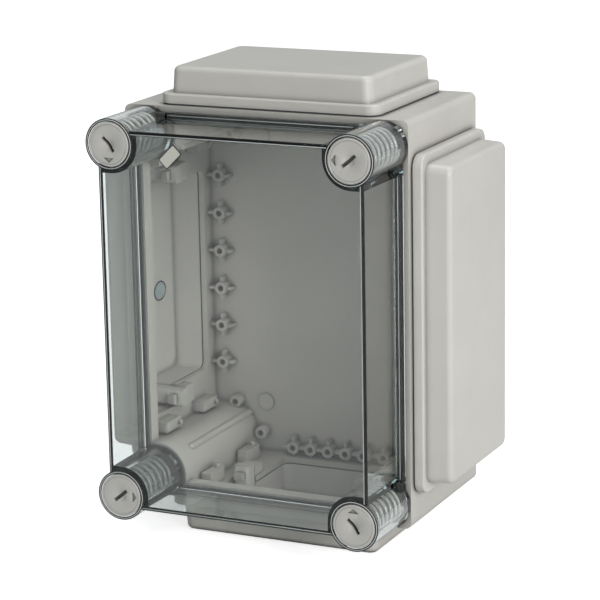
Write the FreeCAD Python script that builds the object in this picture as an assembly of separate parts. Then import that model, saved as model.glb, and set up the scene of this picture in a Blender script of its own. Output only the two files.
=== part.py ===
import FreeCAD, Part
import math
import os
from FreeCAD import Vector

# A wall-mounted insulated enclosure: a moulded tub, a clear hood held by four quarter-turn bolts in
# turrets, and a raised blanking plate wedged over a window in each of the four sides. Millimetres.
# Front elevation frame, used for the tub, the hood and the bolts: x right, y up, z towards the viewer,
# zero at the bolt heads, so a depth behind the heads is a negative z. Things on a side wall are drawn
# in that wall's own frame: x along the wall, y the depth behind the heads, z out from the wall.

# Tub
tub_width = 187.5
tub_height = 250.0
total_depth = 160.0
rim_depth = 50.2
tub_wall = 3.5
tub_floor = 4.0
tub_edge_radius = 4.0
tub_back_radius = 2.5
collar_width = 11.8
collar_depth = 9.0

# Corner pillars, wells and wall-fixing holes
bolt_inset = 15.75
pillar_radius = 18.2
pillar_shell = 3.0
pillar_ridge_radius = 2.4
pillar_ridge_height = 1.9
pillar_ridge_from_collar = 12.0
well_radius = 5.4
well_tube_wall = 3.0
ledge_thickness = 4.0
bayonet_room = 8.0
fixing_hole_radius = 2.75
fixing_floor = 9.0
core_start = 74.0

# Windows in the side walls, and what stands beside them
window_front = 62.0
window_back = 146.0
window_radius = 5.0
notch_front = 74.0
notch_back = 101.5
notch_length = 13.0
lug_from_notch = 3.4
lug_from_pillar = 1.7
lug_length = 19.0
lug_width = 6.6
lug_height = 8.5
lug_knob_radius = 1.5
lug_knob_height = 2.0
lug_fronts = (70.5, 121.5)

# Screw bosses on the back wall
boss_radius = 4.0
boss_hole_radius = 2.0
boss_height = 7.5
boss_hole_depth = 6.5
boss_web = 1.8
boss_web_height = 6.3
boss_fin_reach = 3.4
side_boss_from_wall = 9.0
side_boss_pitch = 25.0
end_boss_from_wall = 5.5
end_boss_pitch = 12.5
bosses_per_row = 6
corner_boss_places = ((21.15, 36.3), (39.35, 16.8))
pad_place = (41.25, 37.1)
pad_radius = 5.2
pad_height = 2.0

# Hood
pane_depth = 1.0
pane_inset = 7.4
hood_wall = 2.6
hood_foot_inset = 6.6
hood_corner_radius = 3.0
hood_edge_radius = 1.8
flange_inset = 3.2
flange_thickness = 4.7
flange_pad_height = 2.4
flange_pad_radius = 4.5
seat_gap = 0.3
turret_radius = 15.7
turret_wall = 1.9
turret_front = 0.6
turret_floor = 3.5
turret_collar_radius = 17.8

# Gasket between hood and tub
gasket_inset = 4.3
gasket_width = 5.6
gasket_height = 4.0
gasket_bolt_gap = 15.2
gasket_bolt_width = 3.0
groove_lip = 1.5
groove_clearance = 0.3

# Quarter-turn bolts and their springs
head_radius = 13.4
head_thickness = 5.0
head_edge_radius = 0.7
slot_length = 11.0
slot_width = 2.4
slot_depth = 2.0
mark_radius = 9.6
mark_half_width = 3.4
mark_height = 3.0
mark_depth = 0.5
slot_turn = 39.0
shaft_radius = 4.5
key_half_length = 7.2
key_width = 4.4
key_thickness = 4.0
bolt_clearance = 0.35
spring_radius = 10.6
spring_wire_radius = 1.35
spring_wire_sides = 6
spring_turns = 7
spring_end_gap = 0.3

# Blanking plates, seals and wedges
plate_height = 23.0
plate_front = 54.0
plate_back = 157.0
plate_from_side = 21.25
plate_from_end = 21.0
plate_corner_radius = 8.0
plate_rim_thickness = 6.0
panel_side_inset = 4.2
panel_end_inset = 5.5
panel_draft = 1.2
panel_edge_radius = 3.5
rim_edge_radius = 1.2
plate_shell = 2.6
seal_thickness = 1.0
seal_width = 6.0
seal_inset = 0.8
skirt_wall = 2.0
ear_gap = 0.5
ear_side_gap = 1.0
ear_thickness = 8.0
ear_reach = 8.0
ear_nose_radius = 3.0
ear_window_width = 6.6
ear_window_height = 4.6
wedge_gap = 0.3
wedge_nose = 4.5
wedge_head_length = 11.0
wedge_head_height = 6.0
wedge_head_side_gap = 0.8

# Blank tag on the hood
tag_length = 11.0
tag_width = 7.4
tag_thickness = 0.3
tag_place = (56.55, 20.8)
tag_turn = 45.0

# Worked-out sizes
half_width = tub_width / 2
half_height = tub_height / 2
bolt_x = half_width - bolt_inset
bolt_y = half_height - bolt_inset
inner_back = total_depth - tub_floor
hood_back = rim_depth - seat_gap
flange_front = hood_back - flange_thickness
groove_depth = gasket_height - seat_gap
ledge_back = rim_depth + ledge_thickness
key_front = ledge_back + bolt_clearance
key_room_radius = key_half_length + bolt_clearance + 0.3
key_hole_radius = shaft_radius + bolt_clearance
gasket_inner_radius = gasket_bolt_gap + gasket_bolt_width
corner_signs = ((-1, 1), (1, 1), (-1, -1), (1, -1))
corner_names = ("top_left", "top_right", "bottom_left", "bottom_right")
mark_directions = (-90, 180, 0, 90)
side_turns = {"top": 0, "left": 90, "bottom": 180, "right": 270}


def rounded_wire(half_x, half_y, radius, z=0.0):
    """A closed rectangle with rounded corners, level at height z."""
    arcs = []
    for index, (sx, sy) in enumerate(((1, 1), (-1, 1), (-1, -1), (1, -1))):
        centre = Vector(sx * (half_x - radius), sy * (half_y - radius), z)
        arcs.append(Part.makeCircle(radius, centre, Vector(0, 0, 1), 90 * index, 90 * index + 90))
    edges = []
    for arc, following in zip(arcs, arcs[1:] + arcs[:1]):
        edges.append(arc)
        start = arc.valueAt(arc.LastParameter)
        end = following.valueAt(following.FirstParameter)
        if start.distanceToPoint(end) > 1e-6:
            edges.append(Part.makeLine(start, end))
    return Part.Wire(edges)


def slab(half_x, half_y, radius, z_start, z_end):
    """A rounded rectangular block between two heights."""
    face = Part.Face(rounded_wire(half_x, half_y, radius, z_start))
    return face.extrude(Vector(0, 0, z_end - z_start))


def tapered(half_x_1, half_y_1, z_1, half_x_2, half_y_2, z_2, radius):
    """A rounded rectangular block whose sides lean from one outline to the other."""
    first = rounded_wire(half_x_1, half_y_1, radius, z_1)
    second = rounded_wire(half_x_2, half_y_2, radius, z_2)
    return Part.makeLoft([first, second], True, True)


def cylinder(radius, x, y, z_start, z_end):
    length = abs(z_end - z_start)
    return Part.makeCylinder(radius, length, Vector(x, y, min(z_start, z_end)))


def block(x_1, x_2, y_1, y_2, z_1, z_2):
    corner = Vector(min(x_1, x_2), min(y_1, y_2), min(z_1, z_2))
    return Part.makeBox(abs(x_2 - x_1), abs(y_2 - y_1), abs(z_2 - z_1), corner)


def turned(shape, degrees, centre=Vector(0, 0, 0)):
    copy = shape.copy()
    copy.rotate(centre, Vector(0, 0, 1), degrees)
    return copy


def at_bolts(make):
    """One copy of what make(x, y, sx, sy) draws at each bolt axis, as a list."""
    return [make(sx * bolt_x, sy * bolt_y, sx, sy) for sx, sy in corner_signs]


def edges_at_z(shape, z):
    """The edges that lie level at height z."""
    found = []
    for edge in shape.Edges:
        box = edge.BoundBox
        if abs(box.ZMin - z) < 1e-4 and abs(box.ZMax - z) < 1e-4:
            found.append(edge)
    return found


def on_side(shape, side):
    """Move a shape from a side wall's own frame to the front elevation frame."""
    placed = shape.copy()
    placed.rotate(Vector(0, 0, 0), Vector(1, 0, 0), -90)
    reach = half_height if side in ("top", "bottom") else half_width
    placed.translate(Vector(0, reach, 0))
    return turned(placed, side_turns[side])


def window_half(side):
    """Half the window's length: the room to the pillars less the lugs and the notches."""
    bolt_place = bolt_x if side in ("top", "bottom") else bolt_y
    return bolt_place - pillar_radius - lug_from_pillar - lug_width - lug_from_notch - notch_length


def plate_half(side):
    """Half a plate's length: it stops short of the tub's corner at each end."""
    return half_width - plate_from_side if side in ("top", "bottom") else half_height - plate_from_end


def side_slab(half_length, depth_1, depth_2, radius, z_1, z_2):
    """A rounded block in a side wall's own frame, between two depths and two heights."""
    centre = Vector(0, (depth_1 + depth_2) / 2, 0)
    shape = slab(half_length, (depth_2 - depth_1) / 2, radius, z_1, z_2)
    shape.translate(centre)
    return shape


# Tub

def seal_band(outer_shift, z_start, z_end):
    """The gasket's closed track: along the sides and round the inner side of each bolt."""
    def outline(shift, disc_radius):
        face = slab(half_width - shift, half_height - shift, 2.0, z_start, z_end)
        return face.cut(at_bolts(
            lambda x, y, sx, sy: corner_post(x, y, sx, sy, disc_radius, z_start + 1, z_end - 1)))
    outer = outline(gasket_inset - outer_shift, gasket_bolt_gap - outer_shift)
    inner = outline(gasket_inset + gasket_width + outer_shift, gasket_inner_radius + outer_shift)
    return outer.cut(inner)


def tub_cavity():
    """The inside of the tub, narrower at the collar under the hood."""
    collar_back = -(rim_depth + collar_depth)
    mouth = slab(half_width - collar_width, half_height - collar_width, 3.0, 1 - rim_depth, collar_back)
    collar_disc = gasket_inner_radius + groove_lip
    mouth = mouth.cut(at_bolts(
        lambda x, y, sx, sy: corner_post(x, y, sx, sy, collar_disc, 2 - rim_depth, collar_back - 1)))
    room = slab(half_width - tub_wall, half_height - tub_wall, 2.0, collar_back, -inner_back)
    room = room.cut(at_bolts(
        lambda x, y, sx, sy: corner_post(x, y, sx, sy, pillar_radius, collar_back + 1, -inner_back - 1)))
    return mouth, room


def corner_post(x, y, sx, sy, radius, z_1, z_2):
    """A post round a bolt's axis, squared up to the two walls of its corner."""
    to_side = block(x - sx * radius, x + sx * bolt_inset, y, y + sy * bolt_inset, z_1, z_2)
    to_end = block(x, x + sx * bolt_inset, y - sy * radius, y + sy * bolt_inset, z_1, z_2)
    return cylinder(radius, x, y, z_1, z_2).fuse([to_side, to_end])


def well(x, y, sx, sy):
    """The bolt's well: keyhole mouth, room for the key to turn, and a shaft down to the fixing hole."""
    mouth = cylinder(key_hole_radius, x, y, 1 - rim_depth, -ledge_back)
    room_back = -(key_front + bayonet_room)
    room = cylinder(key_room_radius, x, y, -ledge_back, room_back)
    shaft = cylinder(well_radius, x, y, room_back, fixing_floor - total_depth)
    hole = cylinder(fixing_hole_radius, x, y, fixing_floor - total_depth, -total_depth - 1)
    return mouth.fuse([room, shaft, hole])


def keyhole_slots():
    """The slots that let each bolt's key through the ledge, in line with the key at rest."""
    slots = []
    for (sx, sy), direction in zip(corner_signs, mark_directions):
        slot = key_bar(bolt_clearance, 1 - rim_depth, -ledge_back)
        slot = turned(slot, direction)
        slot.translate(Vector(sx * bolt_x, sy * bolt_y, 0))
        slots.append(slot)
    return slots


def key_bar(clearance, z_1, z_2):
    """The bolt's cross key, or with a clearance the slot for it, along x."""
    reach = key_half_length + clearance
    width = key_width / 2 + clearance
    return block(-reach, reach, -width, width, z_1, z_2)


def pillar_core(x, y, sx, sy):
    """The hollow moulded into a pillar from the back, round the well's tube."""
    core = corner_post(x, y, sx, sy, pillar_radius - pillar_shell, -core_start, -total_depth - 1)
    core = core.common(slab(half_width - tub_wall, half_height - tub_wall, 2.0, 0, -total_depth - 2))
    tube = cylinder(well_radius + well_tube_wall, x, y, -core_start + 1, -total_depth - 2)
    return core.cut(tube)


def pillar_ridge(x, y, sx, sy):
    """The round bead along the inner side of a pillar, at 45 degrees, with a rounded front end."""
    along = (pillar_radius + pillar_ridge_height - pillar_ridge_radius) / math.sqrt(2)
    centre_x = x - sx * along
    centre_y = y - sy * along
    front = -(rim_depth + collar_depth + pillar_ridge_from_collar)
    bead = cylinder(pillar_ridge_radius, centre_x, centre_y, front, -inner_back - 1)
    return bead.fuse(Part.makeSphere(pillar_ridge_radius, Vector(centre_x, centre_y, front)))


def boss_rows():
    """Centres of the screw bosses along the four walls, with the way to the wall."""
    places = []
    for number in range(bosses_per_row):
        along = (number - (bosses_per_row - 1) / 2)
        for sign in (-1, 1):
            side_x = sign * (half_width - tub_wall - side_boss_from_wall)
            places.append((side_x, along * side_boss_pitch, 90 - sign * 90, side_boss_from_wall))
            end_y = sign * (half_height - tub_wall - end_boss_from_wall)
            places.append((along * end_boss_pitch, end_y, sign * 90, end_boss_from_wall))
    return places


def corner_bosses():
    places = []
    for sx, sy in corner_signs:
        for from_side, from_end in corner_boss_places:
            places.append((sx * (half_width - from_side), sy * (half_height - from_end)))
    return places


def bosses():
    """Screw bosses with their webs, and the flat pads, on the back wall."""
    foot = -inner_back - 1
    top = boss_height - inner_back
    web_top = boss_web_height - inner_back
    solids = []
    holes = []
    for x, y, direction, to_wall in boss_rows():
        solids.append(cylinder(boss_radius, x, y, foot, top))
        holes.append(cylinder(boss_hole_radius, x, y, top - boss_hole_depth, top + 1))
        reach = boss_radius + boss_fin_reach
        web = block(-reach, to_wall + 1, -boss_web / 2, boss_web / 2, foot, web_top)
        fins = block(-boss_web / 2, boss_web / 2, -reach, reach, foot, web_top)
        for piece in (web, fins):
            piece = turned(piece, direction)
            piece.translate(Vector(x, y, 0))
            solids.append(piece)
    for x, y in corner_bosses():
        solids.append(cylinder(boss_radius, x, y, foot, top))
        holes.append(cylinder(boss_hole_radius, x, y, top - boss_hole_depth, top + 1))
    for sx, sy in corner_signs:
        x = sx * (half_width - pad_place[0])
        y = sy * (half_height - pad_place[1])
        solids.append(cylinder(pad_radius, x, y, foot, pad_height - inner_back))
    return solids, holes


def ear_place(side):
    """How far along its wall a plate's ear stands: the middle of the notch."""
    return window_half(side) + notch_length / 2


def wall_opening(side, grown, z_1, z_2):
    """A window with the notch at each end, all round larger by grown, in the wall's own frame."""
    half = window_half(side)
    window = side_slab(half + grown, window_front - grown, window_back + grown,
                       window_radius + grown, z_1, z_2)
    reach = half + notch_length + grown
    notches = block(-reach, reach, notch_front - grown, notch_back + grown, z_1, z_2)
    return window.fuse(notches)


def wall_lugs(side):
    """The four lugs on the inside of one wall, two beyond each end of its window."""
    lugs = []
    near = window_half(side) + notch_length + lug_from_notch
    top = -tub_wall - lug_height
    for end in (-1, 1):
        for front in lug_fronts:
            lug = block(end * near, end * (near + lug_width), front, front + lug_length,
                        top, -tub_wall + 1)
            knob = cylinder(lug_knob_radius, end * (near + lug_width / 2),
                            front + lug_length - 2 * lug_knob_radius, top - lug_knob_height, top + 1)
            lugs.append(on_side(lug.fuse(knob), side))
    return lugs


def make_tub():
    body = slab(half_width, half_height, tub_edge_radius, -rim_depth, -total_depth)
    body = body.makeFillet(tub_back_radius, edges_at_z(body, -total_depth))
    body = body.cut(list(tub_cavity()))
    solids, holes = bosses()
    solids += at_bolts(pillar_ridge)
    for side in side_turns:
        solids += wall_lugs(side)
    body = body.fuse(solids)
    cuts = holes
    cuts += at_bolts(well)
    cuts += keyhole_slots()
    cuts += at_bolts(pillar_core)
    cuts.append(seal_band(groove_clearance, 1 - rim_depth, -rim_depth - groove_depth))
    for side in side_turns:
        cuts.append(on_side(wall_opening(side, 0, -tub_wall - 2, 1), side))
    return body.cut(cuts).removeSplitter()


# Hood and gasket

def flange_pads():
    """The thicker corners of the hood's flange, which close the channel beside each turret."""
    outer = slab(half_width - flange_inset, half_height - flange_inset, hood_corner_radius,
                 flange_pad_height - flange_front, -hood_back)
    pads = []
    for sx, sy in corner_signs:
        pad = slab(bolt_inset, bolt_inset, flange_pad_radius, flange_pad_height - flange_front,
                   -hood_back)
        pad.translate(Vector(sx * bolt_x, sy * bolt_y, 0))
        pads.append(pad.common(outer))
    return pads


def make_cover():
    flange = slab(half_width - flange_inset, half_height - flange_inset, hood_corner_radius,
                  -flange_front, -hood_back)
    turrets = at_bolts(lambda x, y, sx, sy: cylinder(turret_radius, x, y, -turret_front, -hood_back))
    pane_x = half_width - pane_inset
    pane_y = half_height - pane_inset
    foot_x = half_width - hood_foot_inset
    foot_y = half_height - hood_foot_inset
    hood = tapered(pane_x, pane_y, -pane_depth, foot_x, foot_y, -flange_front, hood_corner_radius)
    hood = hood.makeFillet(hood_edge_radius, edges_at_z(hood, -pane_depth))
    inside = tapered(pane_x - hood_wall, pane_y - hood_wall, -pane_depth - hood_wall,
                     foot_x - hood_wall, foot_y - hood_wall, -hood_back - 1, hood_corner_radius)
    inside = inside.cut(at_bolts(
        lambda x, y, sx, sy: corner_post(x, y, sx, sy, turret_collar_radius, 0, -hood_back - 2)))
    wells = at_bolts(lambda x, y, sx, sy: cylinder(turret_radius - turret_wall, x, y, 1,
                                                   turret_floor - hood_back))
    cover = flange.fuse(flange_pads() + turrets + [hood])
    keyholes = []
    for (sx, sy), direction in zip(corner_signs, mark_directions):
        hole = cylinder(key_hole_radius, 0, 0, -hood_back - 1, -flange_front + 1)
        slot = turned(key_bar(bolt_clearance, -hood_back - 1, -flange_front + 1), direction + 45)
        hole = hole.fuse(slot)
        hole.translate(Vector(sx * bolt_x, sy * bolt_y, 0))
        keyholes.append(hole)
    return cover.cut([inside] + wells + keyholes).removeSplitter()


def make_gasket():
    return seal_band(0.0, -hood_back, -hood_back - gasket_height)


# Bolts and springs

def make_bolt(direction):
    """A bolt at the origin: slotted head, shaft and cross key, with its mark in the given direction."""
    head = cylinder(head_radius, 0, 0, 0, -head_thickness)
    head = head.makeFillet(head_edge_radius, edges_at_z(head, 0))
    shaft = cylinder(shaft_radius, 0, 0, -head_thickness, -key_front - key_thickness)
    key = key_bar(0, -key_front, -key_front - key_thickness)
    bolt = head.fuse([shaft, key])
    slot = block(-slot_length / 2, slot_length / 2, -slot_width / 2, slot_width / 2, -slot_depth, 1)
    slot = turned(slot, slot_turn)
    tip = Vector(mark_radius + mark_height / 2, 0, -mark_depth)
    left = Vector(mark_radius - mark_height / 2, mark_half_width, -mark_depth)
    right = Vector(mark_radius - mark_height / 2, -mark_half_width, -mark_depth)
    mark = Part.Face(Part.makePolygon([tip, left, right, tip])).extrude(Vector(0, 0, mark_depth + 1))
    return turned(bolt.cut([slot, mark]), direction)


def make_spring():
    """A coil spring round the origin's axis, from behind the bolt's head to the turret's floor."""
    front = -head_thickness - spring_end_gap - spring_wire_radius
    back = turret_floor - hood_back + spring_wire_radius + seat_gap
    pitch = (front - back) / spring_turns
    path = Part.makeHelix(pitch, front - back, spring_radius)
    corners = []
    for number in range(spring_wire_sides + 1):
        angle = 2 * math.pi * number / spring_wire_sides
        corners.append(Vector(spring_radius + spring_wire_radius * math.cos(angle), 0,
                              spring_wire_radius * math.sin(angle)))
    section = Part.makePolygon(corners)
    sweep = Part.Wire(path).makePipeShell([section], True, True)
    sweep.translate(Vector(0, 0, back))
    return sweep


# Plates, seals and wedges

def make_plate(side):
    """A raised, hollow blanking plate, its skirt round the opening, and two ears into the tub."""
    half = plate_half(side)
    middle = (plate_front + plate_back) / 2
    half_depth = (plate_back - plate_front) / 2
    rim_top = seal_thickness + plate_rim_thickness
    rim = slab(half, half_depth, plate_corner_radius, seal_thickness, rim_top)
    rim = rim.makeFillet(rim_edge_radius, edges_at_z(rim, rim_top))
    low_x = half - panel_end_inset
    low_y = half_depth - panel_side_inset
    corner = plate_corner_radius - 2
    panel = tapered(low_x, low_y, seal_thickness, low_x - panel_draft, low_y - panel_draft,
                    plate_height, corner)
    panel = panel.makeFillet(panel_edge_radius, edges_at_z(panel, plate_height))
    hollow = tapered(low_x - plate_shell, low_y - plate_shell, seal_thickness - 1,
                     low_x - panel_draft - plate_shell, low_y - panel_draft - plate_shell,
                     plate_height - plate_shell, corner - 1)
    plate = rim.fuse(panel).cut(hollow)
    plate.translate(Vector(0, middle, 0))
    inner_face = plate_height - plate_shell / 2
    skirt = wall_opening(side, skirt_wall, seal_thickness, inner_face)
    skirt = skirt.cut(wall_opening(side, 0, seal_thickness - 1, inner_face + 1))
    ears = []
    windows = []
    half_ear = notch_length / 2 - ear_side_gap
    ear_back = notch_back - ear_gap
    for end in (-1, 1):
        centre = end * ear_place(side)
        ear = block(centre - half_ear, centre + half_ear, ear_back - ear_thickness, ear_back,
                    -tub_wall - ear_reach, inner_face)
        noses = [edge for edge in ear.Edges if edge.BoundBox.YMax < ear_back - 1
                 and edge.BoundBox.ZLength > ear_reach]
        ears.append(ear.makeFillet(ear_nose_radius, noses))
        windows.append(block(centre - ear_window_width / 2, centre + ear_window_width / 2,
                             ear_back - ear_thickness - 1, ear_back + 1,
                             -tub_wall, -tub_wall - ear_window_height))
    return on_side(plate.fuse([skirt] + ears).cut(windows).removeSplitter(), side)


def make_plate_seal(side):
    half = plate_half(side) - seal_inset
    front = plate_front + seal_inset
    back = plate_back - seal_inset
    corner = plate_corner_radius - seal_inset
    outer = side_slab(half, front, back, corner, 0, seal_thickness)
    inner = side_slab(half - seal_width, front + seal_width, back - seal_width, 2.0,
                      -1, seal_thickness + 1)
    return on_side(outer.cut(inner), side)


def make_wedge(side, end):
    """A wedge pushed from behind through a plate's ear, its head on the wall behind the notch."""
    centre = end * ear_place(side)
    half_tongue = ear_window_width / 2 - wedge_gap
    tongue_top = -tub_wall - ear_window_height + wedge_gap
    half_head = notch_length / 2 - wedge_head_side_gap
    ear_back = notch_back - ear_gap
    tongue = block(centre - half_tongue, centre + half_tongue, ear_back - ear_thickness - wedge_nose,
                   notch_back + 1, -tub_wall, tongue_top)
    head = block(centre - half_head, centre + half_head, notch_back, notch_back + wedge_head_length,
                 -tub_wall, -tub_wall - wedge_head_height)
    return on_side(tongue.fuse(head).removeSplitter(), side)


def make_tag():
    """A blank tag on the pane, at tag_place from the tub's left side and its upper end."""
    tag = block(-tag_length / 2, tag_length / 2, -tag_width / 2, tag_width / 2,
                -pane_depth, tag_thickness - pane_depth)
    tag = turned(tag, tag_turn)
    tag.translate(Vector(tag_place[0] - half_width, half_height - tag_place[1], 0))
    return tag


def all_parts():
    parts = {"tub": make_tub(), "cover": make_cover(), "cover_gasket": make_gasket()}
    spring = make_spring()
    for name, (sx, sy), direction in zip(corner_names, corner_signs, mark_directions):
        centre = Vector(sx * bolt_x, sy * bolt_y, 0)
        bolt = make_bolt(direction)
        bolt.translate(centre)
        parts["bolt_" + name] = bolt
        coil = spring.copy()
        coil.translate(centre)
        parts["spring_" + name] = coil
    for side in side_turns:
        parts["plate_" + side] = make_plate(side)
        parts["plate_seal_" + side] = make_plate_seal(side)
        parts["wedge_" + side + "_1"] = make_wedge(side, -1)
        parts["wedge_" + side + "_2"] = make_wedge(side, 1)
    parts["blank_tag"] = make_tag()
    return parts


# The part stands on its lower plate, with the origin at the middle of that underside.

os.makedirs("parts", exist_ok=True)
for node, shape in all_parts().items():
    shape.rotate(Vector(0, 0, 0), Vector(1, 0, 0), 90)
    shape.translate(Vector(0, -total_depth / 2, half_height + plate_height))
    shape.exportStep("parts/" + node + ".step")
    print(node, round(shape.Volume, 1), shape.isValid(), len(shape.Solids))
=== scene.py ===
import math
import bmesh
import bpy
from mathutils import Matrix, Vector


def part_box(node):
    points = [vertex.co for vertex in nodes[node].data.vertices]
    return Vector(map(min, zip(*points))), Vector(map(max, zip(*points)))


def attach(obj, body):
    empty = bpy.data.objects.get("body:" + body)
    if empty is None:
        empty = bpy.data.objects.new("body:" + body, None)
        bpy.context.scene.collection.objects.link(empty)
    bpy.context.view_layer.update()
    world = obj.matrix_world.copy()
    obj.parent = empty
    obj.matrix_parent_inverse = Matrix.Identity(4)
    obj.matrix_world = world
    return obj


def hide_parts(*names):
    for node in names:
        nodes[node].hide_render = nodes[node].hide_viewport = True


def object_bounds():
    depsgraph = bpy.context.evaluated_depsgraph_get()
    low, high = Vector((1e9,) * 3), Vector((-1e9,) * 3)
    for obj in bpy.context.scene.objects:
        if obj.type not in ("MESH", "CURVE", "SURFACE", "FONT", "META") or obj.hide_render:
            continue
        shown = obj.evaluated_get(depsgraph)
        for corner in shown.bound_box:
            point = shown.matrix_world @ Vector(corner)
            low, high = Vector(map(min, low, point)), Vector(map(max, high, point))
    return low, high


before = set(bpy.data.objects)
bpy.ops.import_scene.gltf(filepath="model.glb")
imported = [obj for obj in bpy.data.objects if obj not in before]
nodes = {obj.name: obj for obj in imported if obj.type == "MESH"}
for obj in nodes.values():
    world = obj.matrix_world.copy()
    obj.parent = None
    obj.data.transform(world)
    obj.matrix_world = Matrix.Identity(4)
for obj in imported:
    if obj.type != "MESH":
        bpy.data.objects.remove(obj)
cad_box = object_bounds()
scene = bpy.context.scene
middle_height = (cad_box[0][2] + cad_box[1][2]) / 2
x_axis = 0
y_axis = 1
z_axis = 2

# Camera, at the photograph's viewing angle, in metres, degrees and pixels
camera_place = Vector((0.67268, -1.40426, 0.53711))
camera_azimuth = 25.325
camera_elevation = 13.944
camera_roll = -1.053
focal_pixels = 2599.7
frame_pixels = 600
sensor_width = 36.0
nearest_view = 0.05
farthest_view = 50.0

# Colours, linear
plastic_colour = (0.55, 0.53, 0.50)
plate_colour = (0.56, 0.545, 0.52)
bolt_colour = (0.47, 0.46, 0.44)
spring_colour = (0.29, 0.30, 0.295)
rubber_colour = (0.065, 0.075, 0.075)
tag_colour = (0.52, 0.52, 0.47)
# Near black of the tag's frame and the plug's ring, painted shade round their edges
dark_colour = (0.035, 0.035, 0.035)
# Pale colour of the raised lines on the hood, a painted highlight of the pane's and flange's edges
highlight_bead_colour = (0.36, 0.385, 0.385)
# Pale colour of the turret rings, a painted highlight round the bolt heads
ring_highlight_colour = (0.56, 0.59, 0.59)
plug_colour = (0.36, 0.44, 0.47)
hood_tint = (0.93, 0.94, 0.935)
hood_shadow_tint = (0.75, 0.745, 0.73)
ambient_colour = (0.93, 1.0, 0.99)
key_colour = (1.0, 0.985, 0.965)
white = (1.0, 1.0, 1.0)
floor_colour = (0.80, 0.80, 0.80)

# Moulded plastic, with noise scales per metre
noise_roughness = 0.55
noise_detail = 2.0
mottle_scale = 22.0
mottle_detail = 4.0
mottle_span = (0.35, 0.65)
gloss_scale = 160.0
gloss_spread = (-0.05, 0.07)
grain_scale = 2600.0
grain_strength = 0.35

# Painted shade, darkening colours in corners: reach in metres, and the open shares that count as
# closed and as open
shade_samples = 6
near_shade_reach = 0.006
near_shade_span = (0.2, 0.85)
deep_shade_reach = 0.07
deep_shade_span = (0.1, 0.75)
deep_shade_darkest = 0.52

# Clear plastic of the hood
hood_ior = 1.5
hood_absorption = (0.20, 0.42, 0.45)
hood_density = 30.0
smear_scale = 18.0
smear_roughness = 0.03

# Rubber
rubber_roughness = 0.8
rubber_shares = (0.7, 1.4)
rubber_mottle_scale = 900.0
rubber_mottle_detail = 3.0
rubber_grain_scale = 1500.0
rubber_grain_strength = 0.5
rubber_grain_depth = 0.0001

# Sockets of the Mix node that hold colours
mix_first = 6
mix_second = 7
mix_result = 2

# Bolt heads and springs, in metres and degrees
bolt_corners = {"top_left": "tl", "top_right": "tr", "bottom_left": "bl", "bottom_right": "br"}
mark_directions = {"top_left": -90, "top_right": 180, "bottom_left": 0, "bottom_right": 90}
head_thickness = 0.005
head_edge_radius = 0.0007
rim_groove_radius = 0.0119
rim_groove_depth = 0.00035
dish_radius = 0.0039
dish_depth = 0.0013
dish_pole_gap = 1.0
slot_turn = 39.0
slot_size = (0.011, 0.0022, 0.0042)
mark_place = 0.0096
mark_half_width = 0.0034
mark_height = 0.0030
mark_depth = 0.0012
cut_overshoot = 0.001
shaft_radius = 0.0045
key_size = (0.0144, 0.0044, 0.004)
carved_edge = 0.00012
carved_edge_segments = 2
carved_edge_angle = 50
spring_wire_radius = 0.00135
spring_turns = 7
spring_even_share = 0.55
spring_closing_share = 0.45

# Fine details, in metres and degrees, with pairs as (x, z)
pane_front = -0.079
pane_half = (0.08635, 0.1176)
flange_front = -0.0348
flange_line = (0.08885, 0.1201)
flange_pad_half = 0.0165
bead_inset = 0.0017
bead_radius = 0.00032
bead_end_share = 0.4
turret_radius = 0.0157
turret_front = 0.0006
ring_radius = 0.0147
ring_wire_radius = 0.00024
tag_size = (0.0129, 0.0069)
tag_corner = 0.0006
tag_turn = 44.5
tag_frame_margin = 0.0006
tag_frame_share = 0.8
plug_place = (-0.1139, 0.046, 0.1363)
plug_radius = 0.0058
plug_height = 0.0026
plug_pole_gap = 0.5
plug_lip_width = 0.0004
plug_lip_height = 0.0003
plug_ring_wire_radius = 0.0004
plug_stretch = 1.22

# Fineness of the round forms, and the angles that stay sharp
round_steps = 96
plug_steps = 64
spring_steps = 40
wire_sides = 10
dish_steps = 8
head_edge_steps = 5
dome_steps = 12
tag_corner_steps = 4
smooth_angle = 35
wire_smooth_angle = 60

# Floor in metres, and the strengths of what glows
floor_half = 14.0
floor_drop = 0.0003
floor_glow = 0.72
backdrop_strength = 1.0
ambient_strength = 0.27
bounce_limit = 0.5

# Lamps: place and size in metres, power in watts
lamp_target = (0.0, 0.0, 0.15)
lamps = {
    "key": {"place": (2.1, -1.45, 0.95), "size": (0.6, 1.1), "power": 46, "colour": key_colour},
    "fill": {"place": (0.3, -2.4, 1.2), "size": (0.7, 0.5), "power": 2, "colour": white},
    "top": {"place": (0.1, 0.3, 2.2), "size": (1.6, 1.6), "power": 24, "colour": white},
}

# From a form's own frame, z out of the hood's front, to the row's axes
stand = Matrix(((1, 0, 0), (0, 0, -1), (0, 1, 0))).to_4x4()


def new_material(name):
    """A material with an empty node tree, and that tree."""
    material = bpy.data.materials.new(name)
    material.use_nodes = True
    material.node_tree.nodes.clear()
    return material, material.node_tree


def link(tree, source, output, target, socket):
    """Join a node's output to another node's input, each by name or number."""
    tree.links.new(source.outputs[output], target.inputs[socket])


def noise(tree, scale, detail):
    """A noise texture in metres of the object's own space."""
    place = tree.nodes.new("ShaderNodeTexCoord")
    texture = tree.nodes.new("ShaderNodeTexNoise")
    texture.inputs["Scale"].default_value = scale
    texture.inputs["Detail"].default_value = detail
    texture.inputs["Roughness"].default_value = noise_roughness
    link(tree, place, "Object", texture, "Vector")
    return texture


def grain_bump(tree, scale, strength, depth):
    """A fine bump from noise, as spark erosion or foam leaves it."""
    bump = tree.nodes.new("ShaderNodeBump")
    bump.inputs["Strength"].default_value = strength
    bump.inputs["Distance"].default_value = depth
    link(tree, noise(tree, scale, noise_detail), "Fac", bump, "Height")
    return bump


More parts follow.
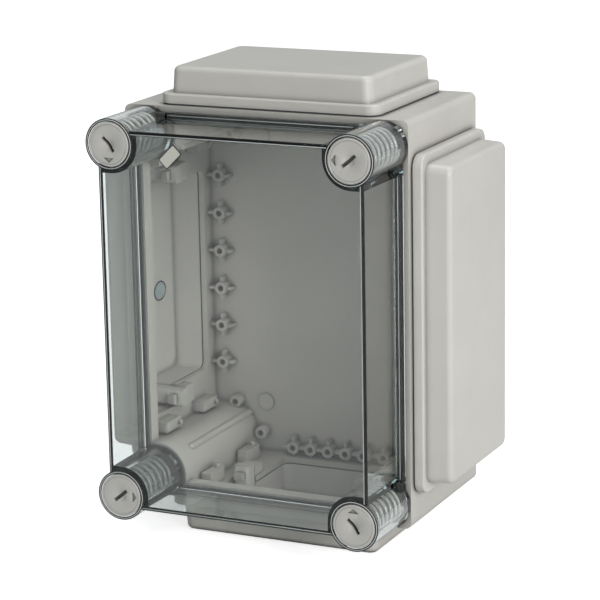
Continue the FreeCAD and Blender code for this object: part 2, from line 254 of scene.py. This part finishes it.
def noise_between(tree, scale, low, high):
    """A noise that runs between two values."""
    span = tree.nodes.new("ShaderNodeMapRange")
    span.inputs["To Min"].default_value = low
    span.inputs["To Max"].default_value = high
    link(tree, noise(tree, scale, noise_detail), "Fac", span, "Value")
    return span


def colour_ramp(tree, scale, detail, colour, shares, positions=(0.0, 1.0)):
    """A colour that noise varies between two shares of its brightness."""
    ramp = tree.nodes.new("ShaderNodeValToRGB")
    for element, share, position in zip(ramp.color_ramp.elements, shares, positions):
        element.position = position
        element.color = (*[channel * share for channel in colour], 1)
    link(tree, noise(tree, scale, detail), "Fac", ramp, "Fac")
    return ramp


def corner_shade(tree, colour, reach, span, darkest, own_form=False):
    """Darken a colour where other surfaces are nearer than reach: painted shade in corners and
    hollows.
    """
    closeness = tree.nodes.new("ShaderNodeAmbientOcclusion")
    closeness.samples = shade_samples
    closeness.only_local = own_form
    closeness.inputs["Distance"].default_value = reach
    shade = tree.nodes.new("ShaderNodeMapRange")
    shade.inputs["From Min"].default_value = span[0]
    shade.inputs["From Max"].default_value = span[1]
    shade.inputs["To Min"].default_value = darkest
    shade.inputs["To Max"].default_value = 1.0
    link(tree, closeness, "AO", shade, "Value")
    mix = tree.nodes.new("ShaderNodeMix")
    mix.data_type = "RGBA"
    mix.blend_type = "MULTIPLY"
    mix.inputs["Factor"].default_value = 1.0
    tree.links.new(colour, mix.inputs[mix_first])
    link(tree, shade, "Result", mix, mix_second)
    return mix.outputs[mix_result]


def moulded_plastic(name, colour, roughness=0.34, grain=0.00004, mottle=0.025, darkest=0.2,
                    gloss_level=0.45, own_form=False, deep_shade=False):
    """Opaque moulded plastic: a spark-eroded grain, slight mottling, uneven gloss and painted shade
    in its corners.
    """
    material, tree = new_material(name)
    shader = tree.nodes.new("ShaderNodeBsdfPrincipled")
    output = tree.nodes.new("ShaderNodeOutputMaterial")
    link(tree, shader, "BSDF", output, "Surface")
    shader.inputs["Specular IOR Level"].default_value = gloss_level
    shares = (1 - mottle, 1 + mottle)
    ramp = colour_ramp(tree, mottle_scale, mottle_detail, colour, shares, mottle_span)
    shaded = corner_shade(tree, ramp.outputs["Color"], near_shade_reach, near_shade_span, darkest,
                          own_form)
    if deep_shade:
        shaded = corner_shade(tree, shaded, deep_shade_reach, deep_shade_span, deep_shade_darkest)
    tree.links.new(shaded, shader.inputs["Base Color"])
    smoothest, roughest = [roughness + spread for spread in gloss_spread]
    gloss = noise_between(tree, gloss_scale, smoothest, roughest)
    link(tree, gloss, "Result", shader, "Roughness")
    link(tree, grain_bump(tree, grain_scale, grain_strength, grain), "Normal", shader, "Normal")
    return material


def clear_plastic(name):
    """Smoke-tinted clear plastic that lets the light through to what it covers."""
    material, tree = new_material(name)
    shader = tree.nodes.new("ShaderNodeBsdfPrincipled")
    shader.inputs["Base Color"].default_value = (*hood_tint, 1)
    shader.inputs["Transmission Weight"].default_value = 1.0
    shader.inputs["IOR"].default_value = hood_ior
    smear = noise_between(tree, smear_scale, 0.0, smear_roughness)
    link(tree, smear, "Result", shader, "Roughness")
    veil = tree.nodes.new("ShaderNodeBsdfTransparent")
    veil.inputs["Color"].default_value = (*hood_shadow_tint, 1)
    path = tree.nodes.new("ShaderNodeLightPath")
    mix = tree.nodes.new("ShaderNodeMixShader")
    output = tree.nodes.new("ShaderNodeOutputMaterial")
    link(tree, path, "Is Shadow Ray", mix, "Fac")
    link(tree, shader, "BSDF", mix, 1)
    link(tree, veil, "BSDF", mix, 2)
    link(tree, mix, "Shader", output, "Surface")
    body = tree.nodes.new("ShaderNodeVolumeAbsorption")
    body.inputs["Color"].default_value = (*hood_absorption, 1)
    body.inputs["Density"].default_value = hood_density
    link(tree, body, "Volume", output, "Volume")
    return material


def rubber(name, colour):
    """Matt foam rubber, finely mottled."""
    material, tree = new_material(name)
    shader = tree.nodes.new("ShaderNodeBsdfPrincipled")
    output = tree.nodes.new("ShaderNodeOutputMaterial")
    link(tree, shader, "BSDF", output, "Surface")
    shader.inputs["Roughness"].default_value = rubber_roughness
    ramp = colour_ramp(tree, rubber_mottle_scale, rubber_mottle_detail, colour, rubber_shares)
    link(tree, ramp, "Color", shader, "Base Color")
    bump = grain_bump(tree, rubber_grain_scale, rubber_grain_strength, rubber_grain_depth)
    link(tree, bump, "Normal", shader, "Normal")
    return material


def dress_nodes(bolt_plastic, spring_plastic, tag_film):
    """Give each CAD node its material, found by the longest start that fits its name."""
    # The tub's plastic also takes a wide painted shade, darker deep inside the box
    box_plastic = moulded_plastic("box_plastic", plastic_colour, deep_shade=True)
    seal = rubber("seal_rubber", rubber_colour)
    materials = {
        "cover": clear_plastic("clear_hood"),
        "cover_gasket": seal,
        "plate": moulded_plastic("plate_plastic", plate_colour),
        "plate_seal": seal,
        "bolt": bolt_plastic,
        "spring": spring_plastic,
        "blank_tag": tag_film,
    }
    for name, node in nodes.items():
        starts = [start for start in materials if name.startswith(start)]
        material = materials[max(starts, key=len)] if starts else box_plastic
        node.data.materials.clear()
        node.data.materials.append(material)


def new_piece(name, mesh, material, body):
    """Put a mesh in the scene as a piece that rides a body and takes the given material."""
    piece = bpy.data.objects.new(name, mesh)
    scene.collection.objects.link(piece)
    mesh.materials.clear()
    mesh.materials.append(material)
    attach(piece, body)
    return piece


def mesh_of(name, rings, looped=False):
    """A tube through rings of points, closed by a face at each end or looped back to its start."""
    form = bmesh.new()
    made = [[form.verts.new(point) for point in ring] for ring in rings]
    pairs = zip(made, made[1:] + made[:1]) if looped else zip(made, made[1:])
    for first, second in pairs:
        for index in range(len(first)):
            after = (index + 1) % len(first)
            form.faces.new((first[index], first[after], second[after], second[index]))
    if not looped:
        form.faces.new(list(reversed(made[0])))
        form.faces.new(made[-1])
    bmesh.ops.recalc_face_normals(form, faces=form.faces)
    mesh = bpy.data.meshes.new(name)
    form.to_mesh(mesh)
    form.free()
    return mesh


def revolved(name, profile, steps=round_steps):
    """A solid turned round the z axis from (radius, height) pairs."""
    angles = [2 * math.pi * step / steps for step in range(steps)]
    rings = []
    for radius, height in profile:
        ring = [(radius * math.cos(angle), radius * math.sin(angle), height) for angle in angles]
        rings.append(ring)
    return mesh_of(name, rings)


def smooth(mesh, degrees=smooth_angle):
    """Smooth shading, left sharp where faces meet at more than this angle."""
    mesh.shade_smooth()
    mesh.set_sharp_from_angle(angle=math.radians(degrees))


def wire_section(radius, wire_radius, angle, height=0.0):
    """Points round a wire that circles the z axis, at one angle of its way."""
    ring = []
    for side in range(wire_sides):
        around = 2 * math.pi * side / wire_sides
        reach = radius + wire_radius * math.cos(around)
        ring.append((reach * math.cos(angle), reach * math.sin(angle),
                     height + wire_radius * math.sin(around)))
    return ring


def torus(name, radius, wire_radius):
    """A ring of round wire about the z axis."""
    rings = []
    for step in range(round_steps):
        rings.append(wire_section(radius, wire_radius, 2 * math.pi * step / round_steps))
    mesh = mesh_of(name, rings, looped=True)
    smooth(mesh, wire_smooth_angle)
    return mesh


def prism(name, outline, low, high):
    """A straight block on a flat outline of (x, y) pairs."""
    return mesh_of(name, [[(x, y, level) for x, y in outline] for level in (low, high)])


def bar(name, length, width, low, high, degrees=0.0):
    """A rectangular block across the z axis, turned about it."""
    turn = Matrix.Rotation(math.radians(degrees), 2)
    signs = ((1, 1), (-1, 1), (-1, -1), (1, -1))
    corners = [Vector((sx * length / 2, sy * width / 2)) for sx, sy in signs]
    return prism(name, [tuple(turn @ corner) for corner in corners], low, high)


def arc(centre_radius, centre_height, radius, start, end, steps):
    """Points of a profile's arc, as (radius, height) pairs, angles in degrees."""
    points = []
    for number in range(steps + 1):
        angle = math.radians(start + (end - start) * number / steps)
        points.append((centre_radius + radius * math.cos(angle),
                       centre_height + radius * math.sin(angle)))
    return points


def bowl_radius(rim_radius, depth):
    """The radius of the sphere whose cap has this rim and depth."""
    return (rim_radius ** 2 + depth ** 2) / (2 * depth)


def carved(mesh, additions, cuts):
    """The mesh with some meshes joined to it and others cut out of it, its edges softened."""
    holder = bpy.data.objects.new("carving", mesh)
    scene.collection.objects.link(holder)
    helpers = []
    for operation, shapes in (("UNION", additions), ("DIFFERENCE", cuts)):
        for shape in shapes:
            helper = bpy.data.objects.new("helper", shape)
            scene.collection.objects.link(helper)
            helpers.append(helper)
            step = holder.modifiers.new("carve", "BOOLEAN")
            step.operation = operation
            step.solver = "EXACT"
            step.object = helper
    bevel = holder.modifiers.new("edge", "BEVEL")
    bevel.width = carved_edge
    bevel.segments = carved_edge_segments
    bevel.limit_method = "ANGLE"
    bevel.angle_limit = math.radians(carved_edge_angle)
    finished = holder.evaluated_get(bpy.context.evaluated_depsgraph_get())
    result = bpy.data.meshes.new_from_object(finished)
    for unused in [holder] + helpers:
        shape = unused.data
        bpy.data.objects.remove(unused)
        bpy.data.meshes.remove(shape)
    return result


def bolt_frame(low, high, direction=0.0):
    """From a bolt's own frame, z out of its head, to its place in the row's frame."""
    centre = Vector(((low[0] + high[0]) / 2, low[1], (low[2] + high[2]) / 2))
    return Matrix.Translation(centre) @ stand @ Matrix.Rotation(math.radians(direction), 4, "Z")


def bolt_profile(head_radius, length):
    """The bolt's half section from the dish's middle to the shaft's end."""
    bowl = bowl_radius(dish_radius, dish_depth)
    half_angle = math.degrees(math.asin(dish_radius / bowl))
    inner = rim_groove_radius - rim_groove_depth
    outer = rim_groove_radius + rim_groove_depth
    edge = head_radius - head_edge_radius
    profile = arc(0, bowl - dish_depth, bowl, dish_pole_gap - 90, half_angle - 90, dish_steps)
    profile += [(inner, 0), (rim_groove_radius, -rim_groove_depth), (outer, 0)]
    profile += arc(edge, -head_edge_radius, head_edge_radius, 90, 0, head_edge_steps)
    profile += [(head_radius, -head_thickness), (shaft_radius, -head_thickness)]
    profile.append((shaft_radius, -length))
    return profile


def make_bolts(material):
    """Bolt heads with a dished middle, a deep slot, a rim groove and a blank pointer mark."""
    mark_tip = mark_place + mark_height / 2
    mark_back = mark_place - mark_height / 2
    pointer = [(mark_tip, 0), (mark_back, mark_half_width), (mark_back, -mark_half_width)]
    for corner, short in bolt_corners.items():
        node = "bolt_" + corner
        low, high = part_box(node)
        length = high[1] - low[1]
        body = revolved("bolt", bolt_profile((high[0] - low[0]) / 2, length))
        key = bar("key", key_size[0], key_size[1], -length, key_size[2] - length)
        slot = bar("slot", slot_size[0], slot_size[1], -slot_size[2], cut_overshoot, slot_turn)
        mark = prism("mark", pointer, -mark_depth, cut_overshoot)
        mesh = carved(body, [key], [slot, mark])
        mesh.transform(bolt_frame(low, high, mark_directions[corner]))
        smooth(mesh)
        piece = new_piece("bolt_head_" + short, mesh, material, "bolt_" + short)
        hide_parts(node)


def make_springs(material):
    """Round-wire coil springs with closed end turns, in the place of the CAD's plain ones."""
    count = spring_turns * spring_steps
    for corner, short in bolt_corners.items():
        node = "spring_" + corner
        low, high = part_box(node)
        coil_radius = (high[0] - low[0]) / 2 - spring_wire_radius
        travel = high[1] - low[1] - 2 * spring_wire_radius
        rings = []
        for number in range(count + 1):
            share = number / count
            closing = 0.5 - 0.5 * math.cos(math.pi * share)
            climb = travel * (spring_even_share * share + spring_closing_share * closing)
            height = -spring_wire_radius - climb
            angle = 2 * math.pi * spring_turns * share
            rings.append(wire_section(coil_radius, spring_wire_radius, angle, height))
        mesh = mesh_of("spring", rings)
        mesh.transform(bolt_frame(low, high))
        smooth(mesh, wire_smooth_angle)
        piece = new_piece("coil_" + short, mesh, material, "hood")
        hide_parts(node)


def highlight_bead_line(name, material, along, across, offset, reach, depth):
    """A thin raised line on the hood's front, centred on the hood and tapered at its ends, pale as a
    painted highlight.
    """
    middle = (0.0, depth, middle_height)
    rings = []
    for place in (-reach, -reach + bead_radius, 0.0, reach - bead_radius, reach):
        radius = bead_radius * (bead_end_share if abs(place) == reach else 1.0)
        ring = []
        for side in range(wire_sides):
            around = 2 * math.pi * side / wire_sides
            point = list(middle)
            point[y_axis] += radius * math.sin(around)
            point[across] += offset + radius * math.cos(around)
            point[along] += place
            ring.append(tuple(point))
        rings.append(ring)
    mesh = mesh_of("highlight_bead", rings)
    smooth(mesh, wire_smooth_angle)
    new_piece(name, mesh, material, "hood")


def make_highlight_beads():
    """Fine raised lines along the pane's and the flange's sides, between the turrets, whose pale
    colour is a painted highlight of those edges.
    """
    highlight_bead = moulded_plastic("highlight_bead_plastic", highlight_bead_colour, roughness=0.2)
    low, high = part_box("bolt_top_right")
    bolt_x = (low[0] + high[0]) / 2
    bolt_z = (low[2] + high[2]) / 2 - middle_height
    pane = [size - bead_inset for size in pane_half]
    pane_reach = (bolt_x - math.sqrt(turret_radius ** 2 - (pane[1] - bolt_z) ** 2),
                  bolt_z - math.sqrt(turret_radius ** 2 - (pane[0] - bolt_x) ** 2))
    flange_reach = (bolt_x - flange_pad_half, bolt_z - flange_pad_half)
    for name, place, reach, depth in (("pane", pane, pane_reach, pane_front),
                                      ("flange", flange_line, flange_reach, flange_front)):
        highlight_bead_line(name + "_highlight_bead_top", highlight_bead, x_axis, z_axis, place[1], reach[0], depth)
        highlight_bead_line(name + "_highlight_bead_bottom", highlight_bead, x_axis, z_axis, -place[1], reach[0], depth)
        highlight_bead_line(name + "_highlight_bead_left", highlight_bead, z_axis, x_axis, -place[0], reach[1], depth)
        highlight_bead_line(name + "_highlight_bead_right", highlight_bead, z_axis, x_axis, place[0], reach[1], depth)


def rounded_rectangle(half, corner):
    """Points of a rectangle with round corners; half is its half size without them."""
    outline = []
    for quarter, (sx, sy) in enumerate(((1, 1), (-1, 1), (-1, -1), (1, -1))):
        rounding = arc(0, 0, corner, 90 * quarter, 90 * quarter + 90, tag_corner_steps)
        outline += [(x + sx * half[0], y + sy * half[1]) for x, y in rounding]
    return outline


def make_tag(film):
    """The blank tag: a pale film with rounded corners on a thin dark frame, which paints the shade
    round the tag's edges.
    """
    edge_shade_plastic = moulded_plastic("tag_shade_frame", dark_colour, roughness=0.5)
    low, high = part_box("blank_tag")
    back = high[1]
    frame_level = low[1] * tag_frame_share + back * (1 - tag_frame_share)
    seat = Matrix.Translation(((low[0] + high[0]) / 2, back, (low[2] + high[2]) / 2)) @ stand
    turn = Matrix.Rotation(math.radians(tag_turn), 2)
    for name, margin, level, material in (("tag_shade_frame", tag_frame_margin, frame_level, edge_shade_plastic),
                                          ("tag_film", 0.0, low[1], film)):
        half = [size / 2 + margin - tag_corner for size in tag_size]
        outline = [tuple(turn @ Vector(point)) for point in rounded_rectangle(half, tag_corner)]
        mesh = prism("tag", outline, 0.0, back - level)
        mesh.transform(seat)
        piece = new_piece(name, mesh, material, "hood")
        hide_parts("blank_tag")


def make_turret_highlight_rings():
    """A fine raised ring on each turret's front, round the bolt head, pale as a painted highlight of
    the cap's edge.
    """
    material = moulded_plastic("ring_highlight_plastic", ring_highlight_colour, roughness=0.2)
    for corner, short in bolt_corners.items():
        low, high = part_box("bolt_" + corner)
        mesh = torus("ring", ring_radius, ring_wire_radius)
        mesh.transform(bolt_frame(low, high) @ Matrix.Translation((0, 0, -turret_front)))
        new_piece("turret_highlight_ring_" + short, mesh, material, "hood")


def make_plug():
    """The small glossy domed plug on the inner face of the left plate, in a dark ring that paints the
    shade round its edge.
    """
    material = moulded_plastic("plug_plastic", plug_colour, roughness=0.06, grain=0.00001,
                               mottle=0.05, gloss_level=1.0)
    dark = moulded_plastic("plug_shade_ring", dark_colour, roughness=0.2)
    bowl = bowl_radius(plug_radius, plug_height)
    edge = math.degrees(math.acos(plug_radius / bowl))
    lip_radius = plug_radius + plug_lip_width
    profile = arc(0, plug_height - bowl, bowl, 90 - plug_pole_gap, edge, dome_steps)
    profile += [(lip_radius, plug_lip_height), (lip_radius, 0.0)]
    mesh = revolved("plug", profile, plug_steps)
    smooth(mesh)
    seat = Matrix.Translation(plug_place) @ Matrix.Diagonal((1, plug_stretch, 1, 1))
    seat = seat @ Matrix.Rotation(math.radians(90), 4, "Y")
    mesh.transform(seat)
    new_piece("side_plug", mesh, material, "box")
    ring = torus("plug_shade_ring", plug_radius + plug_ring_wire_radius, plug_ring_wire_radius)
    ring.transform(seat)
    new_piece("side_plug_shade_ring", ring, dark, "box")


def make_camera():
    """The camera at the photograph's viewing angle, with no shift and no depth of field."""
    data = bpy.data.cameras.new("camera")
    data.sensor_width = sensor_width
    data.lens = focal_pixels / frame_pixels * sensor_width
    data.clip_start = nearest_view
    data.clip_end = farthest_view
    camera = bpy.data.objects.new("camera", data)
    scene.collection.objects.link(camera)
    azimuth = math.radians(camera_azimuth)
    elevation = math.radians(camera_elevation)
    back = Vector((math.sin(azimuth) * math.cos(elevation),
                   -math.cos(azimuth) * math.cos(elevation), math.sin(elevation)))
    right = (-back).cross(Vector((0, 0, 1))).normalized()
    up = right.cross(-back)
    turn = Matrix((right, up, back)).transposed()
    roll = Matrix.Rotation(math.radians(camera_roll), 3, "Z")
    camera.matrix_world = Matrix.Translation(camera_place) @ (turn @ roll).to_4x4()
    scene.camera = camera


def backdrop_mask(tree):
    """1 for what the camera sees directly or through the clear hood, 0 for scattered light."""
    path = tree.nodes.new("ShaderNodeLightPath")
    seen = tree.nodes.new("ShaderNodeMath")
    seen.operation = "MAXIMUM"
    link(tree, path, "Is Camera Ray", seen, 0)
    link(tree, path, "Is Transmission Ray", seen, 1)
    unscattered = tree.nodes.new("ShaderNodeMath")
    unscattered.operation = "LESS_THAN"
    unscattered.inputs[1].default_value = bounce_limit
    link(tree, path, "Diffuse Depth", unscattered, 0)
    mask = tree.nodes.new("ShaderNodeMath")
    mask.operation = "MULTIPLY"
    link(tree, seen, "Value", mask, 0)
    link(tree, unscattered, "Value", mask, 1)
    return mask


def make_world():
    """Plain ambient light, seen as white by the camera and through the clear hood."""
    world = bpy.data.worlds.new("studio")
    scene.world = world
    world.use_nodes = True
    tree = world.node_tree
    tree.nodes.clear()
    ambient = tree.nodes.new("ShaderNodeBackground")
    ambient.inputs["Color"].default_value = (*ambient_colour, 1)
    ambient.inputs["Strength"].default_value = ambient_strength
    backdrop = tree.nodes.new("ShaderNodeBackground")
    backdrop.inputs["Color"].default_value = (*white, 1)
    backdrop.inputs["Strength"].default_value = backdrop_strength
    mix = tree.nodes.new("ShaderNodeMixShader")
    output = tree.nodes.new("ShaderNodeOutputWorld")
    link(tree, backdrop_mask(tree), "Value", mix, "Fac")
    link(tree, ambient, "Background", mix, 1)
    link(tree, backdrop, "Background", mix, 2)
    link(tree, mix, "Shader", output, "Surface")


def make_floor():
    """A plain pale floor that shows white but keeps the object's shadow."""
    mesh = bpy.data.meshes.new("floor")
    signs = ((-1, -1), (1, -1), (1, 1), (-1, 1))
    corners = [(sx * floor_half, sy * floor_half, 0) for sx, sy in signs]
    mesh.from_pydata(corners, [], [(0, 1, 2, 3)])
    floor = bpy.data.objects.new("floor", mesh)
    floor.location = (0, 0, -floor_drop)
    scene.collection.objects.link(floor)
    material, tree = new_material("floor_paper")
    diffuse = tree.nodes.new("ShaderNodeBsdfDiffuse")
    diffuse.inputs["Color"].default_value = (*floor_colour, 1)
    glow = tree.nodes.new("ShaderNodeEmission")
    glow.inputs["Strength"].default_value = floor_glow
    add = tree.nodes.new("ShaderNodeAddShader")
    mix = tree.nodes.new("ShaderNodeMixShader")
    output = tree.nodes.new("ShaderNodeOutputMaterial")
    link(tree, diffuse, "BSDF", add, 0)
    link(tree, glow, "Emission", add, 1)
    link(tree, backdrop_mask(tree), "Value", mix, "Fac")
    link(tree, diffuse, "BSDF", mix, 1)
    link(tree, add, "Shader", mix, 2)
    link(tree, mix, "Shader", output, "Surface")
    mesh.materials.append(material)


def make_lights():
    """Soft rectangular lamps that face the object."""
    for name, lamp in lamps.items():
        data = bpy.data.lights.new(name, "AREA")
        data.shape = "RECTANGLE"
        data.size, data.size_y = lamp["size"]
        data.energy = lamp["power"]
        data.color = lamp["colour"]
        light = bpy.data.objects.new(name, data)
        light.location = lamp["place"]
        light.rotation_mode = "QUATERNION"
        facing = Vector(lamp_target) - Vector(lamp["place"])
        light.rotation_quaternion = facing.to_track_quat("-Z", "Y")
        scene.collection.objects.link(light)


scene.view_settings.view_transform = "Standard"
bolt_plastic = moulded_plastic("bolt_plastic", bolt_colour, roughness=0.30)
# The springs' plastic carries strong painted shade between the coils
spring_plastic = moulded_plastic("spring_plastic", spring_colour, roughness=0.14, darkest=0.08,
                                 gloss_level=1.0, own_form=True)
tag_film = moulded_plastic("tag_film", tag_colour, roughness=0.4, grain=0.00002, mottle=0.02,
                           darkest=0.8)
dress_nodes(bolt_plastic, spring_plastic, tag_film)
make_bolts(bolt_plastic)
make_springs(spring_plastic)
make_highlight_beads()
make_tag(tag_film)
make_turret_highlight_rings()
make_plug()
make_camera()
make_world()
make_floor()
make_lights()
